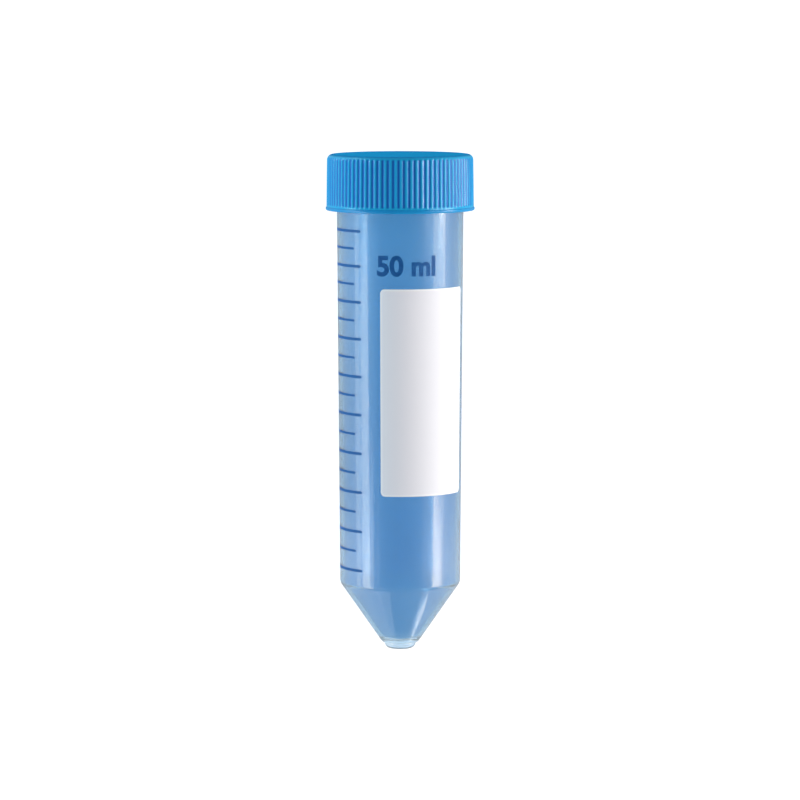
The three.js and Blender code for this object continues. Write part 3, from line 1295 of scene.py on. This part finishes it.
    def build_words(self, axes: TubeAxes, ink: bpy.types.Material) -> bpy.types.Object:
        """Prints the plain capacity above the patch, wrapped on the wall.

        A place x along the words is at the bearing x / wall radius from their left end, and the
        letters are cut into narrow upright strips first, so that they bend with the wall.

        Args:
            axes: The tube's axes.
            ink: The words' ink.

        Returns:
            The words, dressed and riding on the tube.
        """
        mesh = self.word_mesh()
        place = vertex_places(mesh)
        across, up = (place[:, :2] - place[:, :2].min(axis=0)).T
        scale = self.word_height / up.max()
        height = self.word_base + up * scale
        bearing = self.word_from + across * scale / self.tube.body_radius(self.word_base)
        foot = self.tube.body_radius(height) * FLAT + self.lift
        radius = foot + (place[:, 2] > 0) * self.thickness
        wrapped = axes.place(bearing, radius, height).astype(np.float32)
        mesh.vertices.foreach_set("co", wrapped.ravel())
        mesh.update()
        piece = bpy.data.objects.new("capacity_ink", mesh)
        bpy.context.scene.collection.objects.link(piece)
        self.dress(piece, ink)
        return piece


# ---- The studio --------------------------------------------------------------------------------


class LampColour(Enum):
    """The colours of the lamps."""

    WHITE = (1.0, 1.0, 1.0)
    WARM = (1.0, 0.95, 0.88)
    WARMER = (1.0, 0.92, 0.84)
    WARMEST = (1.0, 0.88, 0.76)
    COOL = (0.55, 0.95, 1.0)


@dataclass(frozen=True)
class SoftBox:
    """A plain area lamp that looks at the tube.

    Attributes:
        name: Its name.
        place: Where its middle is, in metres.
        size: Its width and height, in metres.
        power: Its power in watts.
        colour: Its colour.
    """

    name: str
    place: tuple[float, float, float]
    size: tuple[float, float]
    power: float
    colour: LampColour = LampColour.WHITE

    def build(self, target: Vector) -> bpy.types.Object:
        """Hangs it, turned to the target, unseen by the camera.

        Args:
            target: The place that it looks at.

        Returns:
            The lamp's object.
        """
        lamp = bpy.data.lights.new(self.name, "AREA")
        lamp.shape = "RECTANGLE"
        lamp.size, lamp.size_y = self.size
        lamp.energy = self.power
        lamp.color = self.colour.value
        obj = bpy.data.objects.new(self.name, lamp)
        obj.location = self.place
        obj.rotation_euler = (target - Vector(self.place)).to_track_quat("-Z", "Y").to_euler()
        obj.visible_camera = False
        bpy.context.scene.collection.objects.link(obj)
        return obj


@dataclass(frozen=True)
class Studio:
    """The pale floor, the soft light and the camera.

    Attributes:
        floor_reach: Half the floor's side, in metres.
        floor_colour: The floor's colour under the lamps.
        floor_seen: What the floor adds to its own colour for the camera.
        floor_through: What it adds through glass.
        floor_mirrored: What it adds in mirrors.
        mirrored_painted_shadow: Share of that by the distance from the tube's middle plane: a
            painted shadow of the tube.
        mirrored_painted_light: Share of that by the place along the floor near the tip: a
            painted pool of light.
        mirrored_painted_shade: The same near the cap: painted shade.
        sky: Colour of the light from all round.
        sky_strength: Its strength.
        boxes: The lamps.
        lamp_target: The place that they look at.
        camera_back: Distance of the camera from the axis, on the front side, in millimetres.
        camera_height: Its height above the tip, in millimetres.
        camera_aside: Its distance to the right of the axis, in millimetres.
        camera_pitch: Angle by which it looks down towards the tip.
        lens: Its focal length.
        sensor: Width of its sensor.
        clip: Nearest and farthest distance that it sees, in metres.
    """

    floor_reach: float = 4.0
    floor_colour: Colour = (0.45, 0.45, 0.45)
    floor_seen: float = 0.82
    floor_through: float = 0.62
    floor_mirrored: float = 0.8
    mirrored_painted_shadow: Ramp = (0.018, 0.05, 0.25, 1.0)
    mirrored_painted_light: Ramp = (-0.055, -0.02, 1.5, 1.0)
    mirrored_painted_shade: Ramp = (0.035, 0.05, 1.0, 0.4)
    sky: Colour = (0.18, 0.205, 0.235)
    sky_strength: float = 1.0
    boxes: tuple[SoftBox, ...] = (
        SoftBox("key_box", (0.80, 0.18, 0.22), (0.52, 0.42), 2.3, colour=LampColour.WARM),
        SoftBox("key_low_box", (0.78, -0.30, 0.22), (0.44, 0.42), 1.0, colour=LampColour.WARM),
        SoftBox("streak_box", (0.79, -0.25, 0.23), (0.22, 0.28), 1.7, colour=LampColour.WARMEST),
        SoftBox("flank_box", (0.60, -0.38, 0.45), (0.6, 0.45), 0.5, colour=LampColour.WARMER),
        SoftBox("flank_low_box", (0.82, -0.20, 0.05), (0.6, 0.08), 0.38, colour=LampColour.WARMER),
        SoftBox("cap_box", (0.80, 0.15, 0.15), (0.34, 0.16), 2.4),
        SoftBox("rib_box", (0.55, 0.11, 0.42), (0.2, 0.2), 0.8),
        SoftBox("cap_fill_box", (-0.62, 0.18, 0.10), (0.28, 0.18), 1.5, colour=LampColour.COOL),
        SoftBox("end_box", (-0.06, 0.09, 0.03), (0.05, 0.04), 0.010),
        SoftBox("fill_box", (-0.74, -0.318, 0.32), (0.62, 0.26), 2.6),
        SoftBox("fill_streak_box", (-0.72, -0.27, 0.36), (0.22, 0.40), 0.7),
        SoftBox("fill_flank_box", (-0.50, -0.42, 0.50), (0.5, 0.4), 0.3),
        SoftBox("fill_low_box", (-0.80, -0.30, 0.08), (0.6, 0.16), 1.0),
        SoftBox("cone_box", (0.0385, -0.108, 0.012), (0.010, 0.011), 0.0020),
        SoftBox("tip_box", (-0.45, -0.72, 0.10), (0.6, 0.2), 0.45),
    )
    lamp_target: tuple[float, float, float] = (0.0, 0.0, 0.015)
    camera_back: float = 983.6
    camera_height: float = 160.0
    camera_aside: float = -0.04
    camera_pitch: float = 0.1024
    lens: float = 189.03
    sensor: float = 36.0
    clip: tuple[float, float] = (0.01, 20.0)

    def floor_material(self) -> bpy.types.Material:
        """Builds the floor's finish: plain, and paler where it is seen, mirrored or behind glass.

        In mirrors it adds floor_mirrored times its shares: a painted shadow beside the tube, a
        painted pool of light near the tip and painted shade near the cap.

        Returns:
            The material.
        """
        sheet = new_sheet("pale_floor")
        diffuse = sheet.add("BsdfDiffuse", Color=self.floor_colour)
        path = sheet.add("LightPath").outputs
        seen = sheet.product(path["Is Camera Ray"], self.floor_seen)
        through = sheet.product(path["Is Transmission Ray"], self.floor_through)
        place = sheet.add("SeparateXYZ", Vector=sheet.add("TexCoord").outputs["Object"]).outputs
        # Painted shadow beside the tube, painted light near the tip, painted shade near the cap.
        beside = sheet.ramp(sheet.math("ABSOLUTE", place[0]), self.mirrored_painted_shadow)
        tip = sheet.ramp(place[1], self.mirrored_painted_light)
        cap = sheet.ramp(place[1], self.mirrored_painted_shade)
        pale = sheet.product(beside, tip, cap, self.floor_mirrored)
        mirrored = sheet.product(path["Is Glossy Ray"], pale)
        strength = sheet.math("MAXIMUM", seen, sheet.math("MAXIMUM", through, mirrored))
        glow = sheet.add("Emission", Color=LampColour.WHITE.value, Strength=strength)
        both = sheet.add("AddShader")
        sheet.put(both.inputs[0], diffuse.outputs[0])
        sheet.put(both.inputs[1], glow.outputs[0])
        return sheet.finish(both.outputs[0])

    def build_floor(self) -> bpy.types.Object:
        """Lays the floor: a flat square at the tube's resting height.

        Returns:
            The floor, which belongs to the stage.
        """
        reach = self.floor_reach
        corners = [(-reach, -reach, 0), (reach, -reach, 0), (reach, reach, 0), (-reach, reach, 0)]
        floor = mesh_object("floor", np.array(corners), np.array([[0, 1, 2, 3]]))
        floor.data.materials.append(self.floor_material())
        return floor

    def build_sky(self) -> None:
        """Lights the scene from all round, white where the sky is seen, straight or through glass."""
        sheet = NodeSheet(bpy.data.worlds.new("studio"))
        light = sheet.add("Background", Color=self.sky, Strength=self.sky_strength)
        white = sheet.add("Background", Color=LampColour.WHITE.value)
        path = sheet.add("LightPath").outputs
        seen = sheet.math("MAXIMUM", path["Is Camera Ray"], path["Is Transmission Ray"])
        bpy.context.scene.world = sheet.finish(sheet.layer(seen, light, white))

    def build_camera(self, axes: TubeAxes) -> bpy.types.Object:
        """Sets the camera on the front side, level with the axis and pitched towards the tip.

        Args:
            axes: The tube's axes.

        Returns:
            The camera.
        """
        data = bpy.data.cameras.new("camera")
        data.sensor_width = self.sensor
        data.lens = self.lens
        data.clip_start, data.clip_end = self.clip
        camera = bpy.data.objects.new("camera", data)
        off_axis = axes.front * self.camera_back + axes.right * self.camera_aside
        camera.location = axes.tip + (axes.along * self.camera_height + off_axis) * MM
        ahead = -axes.front * math.cos(self.camera_pitch) - axes.along * math.sin(self.camera_pitch)
        up = np.cross(axes.right, ahead)
        turn = Matrix(np.column_stack([axes.right, up, -ahead]).tolist())
        camera.rotation_euler = turn.to_euler()
        bpy.context.scene.collection.objects.link(camera)
        bpy.context.scene.camera = camera
        return camera

    def build(self, axes: TubeAxes) -> None:
        """Sets the floor, the light and the camera.

        Args:
            axes: The tube's axes.
        """
        self.build_floor()
        self.build_sky()
        for box in self.boxes:
            box.build(Vector(self.lamp_target))
        self.build_camera(axes)
        bpy.context.scene.view_settings.view_transform = "Standard"


def main() -> None:
    """Builds the tube, its cap, its print and the studio, in that order."""
    logging.basicConfig(level=logging.INFO, format="%(name)s: %(message)s")
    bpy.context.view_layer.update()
    moulding = TubeMoulding()
    cap = ScrewCap(moulding)
    print_work = Print(moulding, cap.base)
    axes = TubeAxes.from_record(frame["record"], cap.top)
    ink = print_work.blue.material(axes)
    moulding.build(axes)
    cap.build(axes)
    print_work.build_patch(axes)
    print_work.build_marks(axes, ink)
    print_work.build_words(axes, ink)
    Studio().build(axes)


if __name__ == "__main__":
    main()
